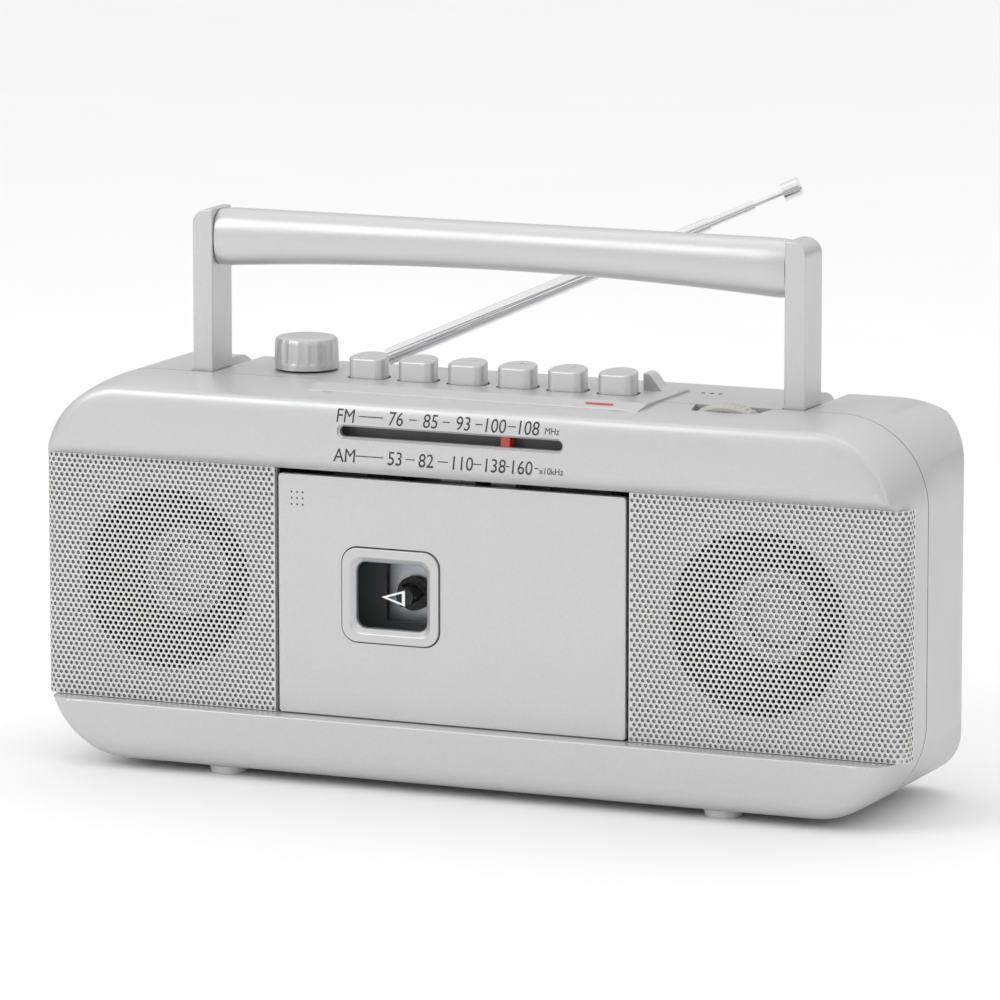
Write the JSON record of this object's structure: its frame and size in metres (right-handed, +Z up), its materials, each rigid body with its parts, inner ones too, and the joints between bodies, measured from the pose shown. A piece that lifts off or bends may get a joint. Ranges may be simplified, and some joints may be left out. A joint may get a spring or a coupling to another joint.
{
  "type": "portable radio cassette recorder",
  "caption": "Portable stereo radio cassette recorder with a fold-back handle, telescopic antenna, top keys, a hinged cassette door and perforated speaker grilles.",
  "frame": {"origin": "centre of the rectangle of feet, on the plane the recorder stands on, under the middle of the casing", "axes": "+X to the right along the front as seen from in front, +Y from the front to the back, +Z up"},
  "size_m": [0.322, 0.1335, 0.2039],
  "materials": {
    "casing": "silver metallic paint on moulded plastic",
    "silver_trim": "brighter silver paint",
    "grille_metal": "perforated sheet, satin",
    "chrome": "polished",
    "steel": "zinc plated",
    "black_plastic": "matte",
    "grey_plastic": "matte",
    "cream_plastic": "satin",
    "red_plastic": "gloss",
    "clear": "clear plastic",
    "rubber": "matte",
    "cone_paper": "pressed paper",
    "brass": "turned",
    "board": "circuit board",
    "ferrite": "sintered"
  },
  "bodies": {
    "body": {"front_casing": "casing", "rear_casing": "casing", "key_panel": "silver_trim", "dial_backplate": "grey_plastic", "tuning_capacitor": "cream_plastic", "volume_control": "steel", "key_frame": "steel", "handle_pivots": "steel", "door_hinge_pins": "steel", "left_grille": "grille_metal", "right_grille": "grille_metal", "left_speaker_frame": "grey_plastic", "left_speaker_cone": "cone_paper", "left_speaker_magnet": "ferrite", "right_speaker_frame": "grey_plastic", "right_speaker_cone": "cone_paper", "right_speaker_magnet": "ferrite", "deck_chassis": "steel", "motor": "steel", "drive_belt": "rubber", "main_board": "board", "ferrite_rod": "ferrite", "transformer": "steel", "battery_contacts": "steel", "ac_inlet": "black_plastic", "headphone_jack": "black_plastic", "feet": "grey_plastic", "casing_screws": "steel", "microphone": "black_plastic"},
    "handle": {"handle_grip": "silver_trim", "handle_arm_left": "silver_trim", "handle_arm_right": "silver_trim"},
    "antenna_base": {"antenna_swivel": "chrome", "antenna_pin": "chrome"},
    "antenna_1": {"antenna_tube_1": "chrome"},
    "antenna_2": {"antenna_tube_2": "chrome"},
    "antenna_3": {"antenna_tube_3": "chrome"},
    "antenna_4": {"antenna_tip": "chrome"},
    "door": {"cassette_door": "silver_trim", "window_frame": "silver_trim", "door_window": "clear", "cassette_holder": "grey_plastic"},
    "key_1": {"pause_key": "silver_trim"},
    "key_2": {"stop_eject_key": "silver_trim"},
    "key_3": {"forward_key": "silver_trim"},
    "key_4": {"rewind_key": "silver_trim"},
    "key_5": {"play_key": "silver_trim"},
    "key_6": {"record_key": "silver_trim"},
    "volume": {"volume_knob": "silver_trim"},
    "tuning": {"tuning_wheel": "cream_plastic"},
    "pointer": {"dial_pointer": "red_plastic"},
    "heads": {"head_plate": "steel", "tape_heads": "steel"},
    "pinch": {"pinch_roller": "rubber"},
    "fly": {"flywheel": "brass"},
    "motor_rotor": {"motor_pulley": "brass"},
    "takeup": {"takeup_spindle": "black_plastic"},
    "supply": {"supply_spindle": "black_plastic"},
    "battery_lid": {"battery_door": "casing"},
    "switch": {"function_switch": "black_plastic"}
  },
  "joints": [
    {"name": "handle_fold", "type": "hinge", "parent": "body", "child": "handle", "pos_m": [0, -0.0043, 0.126], "axis": [-1, 0, 0], "range_deg": [0, 45]},
    {"name": "antenna_turn", "type": "hinge", "parent": "body", "child": "antenna_base", "pos_m": [-0.0673, 0.035, 0.1365], "axis": [0, 0, -1], "range_deg": [-160, 20]},
    {"name": "antenna_raise", "type": "hinge", "parent": "antenna_base", "child": "antenna_1", "pos_m": [-0.0673, 0.035, 0.1365], "axis": [-0.342, 0.9397, 0], "range_deg": [-66.8, 23.2]},
    {"name": "antenna_slide_2", "type": "slide", "parent": "antenna_1", "child": "antenna_2", "axis": [-0.8637, -0.3144, -0.3939], "range_m": [-0.06, 0.025]},
    {"name": "antenna_slide_3", "type": "slide", "parent": "antenna_2", "child": "antenna_3", "axis": [-0.8637, -0.3144, -0.3939], "range_m": [-0.06, 0.0165]},
    {"name": "antenna_slide_4", "type": "slide", "parent": "antenna_3", "child": "antenna_4", "axis": [-0.8637, -0.3144, -0.3939], "range_m": [-0.06, 0.0105]},
    {"name": "door_open", "type": "hinge", "parent": "body", "child": "door", "pos_m": [-0.0054, -0.0328, 0.0288], "axis": [1, 0, 0], "range_deg": [0, 28]},
    {"name": "pause_key_press", "type": "slide", "parent": "body", "child": "key_1", "axis": [0, 0, -1], "range_m": [0, 0.005], "stiffness_N_per_m": 300, "springref_m": -0.002},
    {"name": "stop_eject_key_press", "type": "slide", "parent": "body", "child": "key_2", "axis": [0, 0, -1], "range_m": [0, 0.005], "stiffness_N_per_m": 300, "springref_m": -0.002},
    {"name": "forward_key_press", "type": "slide", "parent": "body", "child": "key_3", "axis": [0, 0, -1], "range_m": [0, 0.005], "stiffness_N_per_m": 300, "springref_m": -0.002},
    {"name": "rewind_key_press", "type": "slide", "parent": "body", "child": "key_4", "axis": [0, 0, -1], "range_m": [0, 0.005], "stiffness_N_per_m": 300, "springref_m": -0.002},
    {"name": "play_key_press", "type": "slide", "parent": "body", "child": "key_5", "axis": [0, 0, -1], "range_m": [0, 0.005], "stiffness_N_per_m": 300, "springref_m": -0.002},
    {"name": "record_key_press", "type": "slide", "parent": "body", "child": "key_6", "axis": [0, 0, -1], "range_m": [0, 0.005], "stiffness_N_per_m": 300, "springref_m": -0.002},
    {"name": "head_plate_slide", "type": "slide", "parent": "body", "child": "heads", "axis": [0, 0, -1], "range_m": [0, 0.0035]},
    {"name": "pinch_roller_spin", "type": "hinge", "parent": "heads", "child": "pinch", "pos_m": [-0.0334, -0.0264, 0.107], "axis": [0, 1, 0], "continuous": true},
    {"name": "volume_turn", "type": "hinge", "parent": "body", "child": "volume", "pos_m": [-0.0793, 0.006, 0.142], "axis": [0, 0, 1], "range_deg": [-150, 150]},
    {"name": "tuning_turn", "type": "hinge", "parent": "body", "child": "tuning", "pos_m": [0.09, -0.02075, 0.1202], "axis": [0, 1, 0], "range_deg": [-205, 55]},
    {"name": "pointer_slide", "type": "slide", "parent": "body", "child": "pointer", "axis": [1, 0, 0], "range_m": [-0.044, 0.012]},
    {"name": "flywheel_spin", "type": "hinge", "parent": "body", "child": "fly", "pos_m": [-0.0334, 0.004, 0.0949], "axis": [0, 1, 0], "continuous": true},
    {"name": "motor_spin", "type": "hinge", "parent": "body", "child": "motor_rotor", "pos_m": [0.0466, 0.006, 0.0749], "axis": [0, 1, 0], "continuous": true},
    {"name": "takeup_spin", "type": "hinge", "parent": "body", "child": "takeup", "pos_m": [-0.02665, -0.0184, 0.0663], "axis": [0, 1, 0], "continuous": true},
    {"name": "supply_spin", "type": "hinge", "parent": "body", "child": "supply", "pos_m": [0.01585, -0.0184, 0.0663], "axis": [0, 1, 0], "continuous": true},
    {"name": "battery_door_open", "type": "hinge", "parent": "body", "child": "battery_lid", "pos_m": [0, 0.042, 0.0106], "axis": [-1, 0, 0], "range_deg": [0, 90]},
    {"name": "function_switch_slide", "type": "slide", "parent": "body", "child": "switch", "axis": [1, 0, 0], "range_m": [-0.005, 0.005]}
  ],
  "couplings": [
    {"joint": "pointer_slide", "follows": "tuning_turn", "m_per_rad": 0.012},
    {"joint": "motor_spin", "follows": "flywheel_spin", "ratio": 5},
    {"joint": "head_plate_slide", "follows": "play_key_press", "ratio": 0.7}
  ]
}
